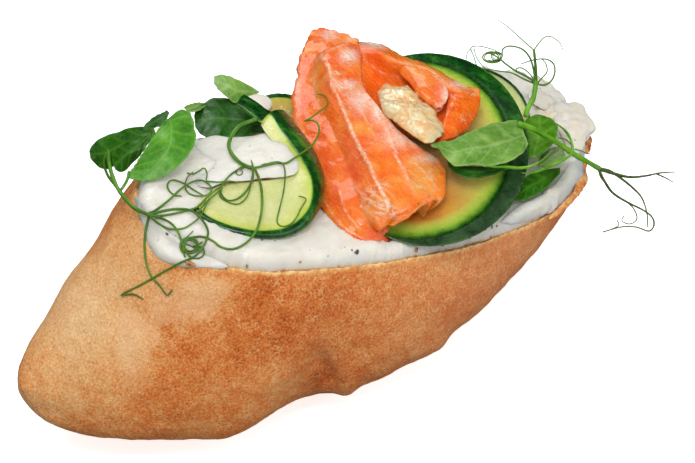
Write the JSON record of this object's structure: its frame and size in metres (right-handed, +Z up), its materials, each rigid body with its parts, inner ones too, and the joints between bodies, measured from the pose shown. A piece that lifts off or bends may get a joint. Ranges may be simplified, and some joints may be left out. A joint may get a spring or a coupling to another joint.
{
  "type": "open sandwich",
  "caption": "Open sandwich on a bias-cut baguette end, spread with cream cheese and topped with folded salmon, cucumber slices, a citrus morsel and pea shoots.",
  "frame": {"origin": "middle of the small flat the belly of the loaf rests on", "axes": "+X along the loaf from the blunt nose to the thin tip, +Z up"},
  "size_m": [0.137, 0.0692, 0.0552],
  "materials": {
    "bread_crust": "matte baked crust",
    "cream_cheese": "soft satin spread",
    "salmon_flesh": "moist glossy flesh",
    "citrus_pulp": "moist glossy pulp",
    "cucumber_flesh": "moist cut vegetable",
    "pea_leaf": "waxy leaf",
    "pea_stem": "waxy stem"
  },
  "bodies": {
    "root": {"bread": "bread_crust", "cream_cheese": "cream_cheese", "salmon_front": "salmon_flesh", "salmon_back": "salmon_flesh", "citrus": "citrus_pulp", "cucumber_left": "cucumber_flesh", "cucumber_mid_back": "cucumber_flesh", "cucumber_right": "cucumber_flesh", "cucumber_right_back": "cucumber_flesh", "leaf_a": "pea_leaf", "leaf_b": "pea_leaf", "leaf_c": "pea_leaf", "leaf_d": "pea_leaf", "leaf_e": "pea_leaf", "leaf_f": "pea_leaf", "leaf_g": "pea_leaf", "leaf_h": "pea_leaf", "leaf_i": "pea_leaf", "leaf_j": "pea_leaf", "stem_left": "pea_stem", "stem_middle": "pea_stem", "stem_right": "pea_stem", "stem_right_low": "pea_stem", "stem_top": "pea_stem"}
  },
  "joints": []
}
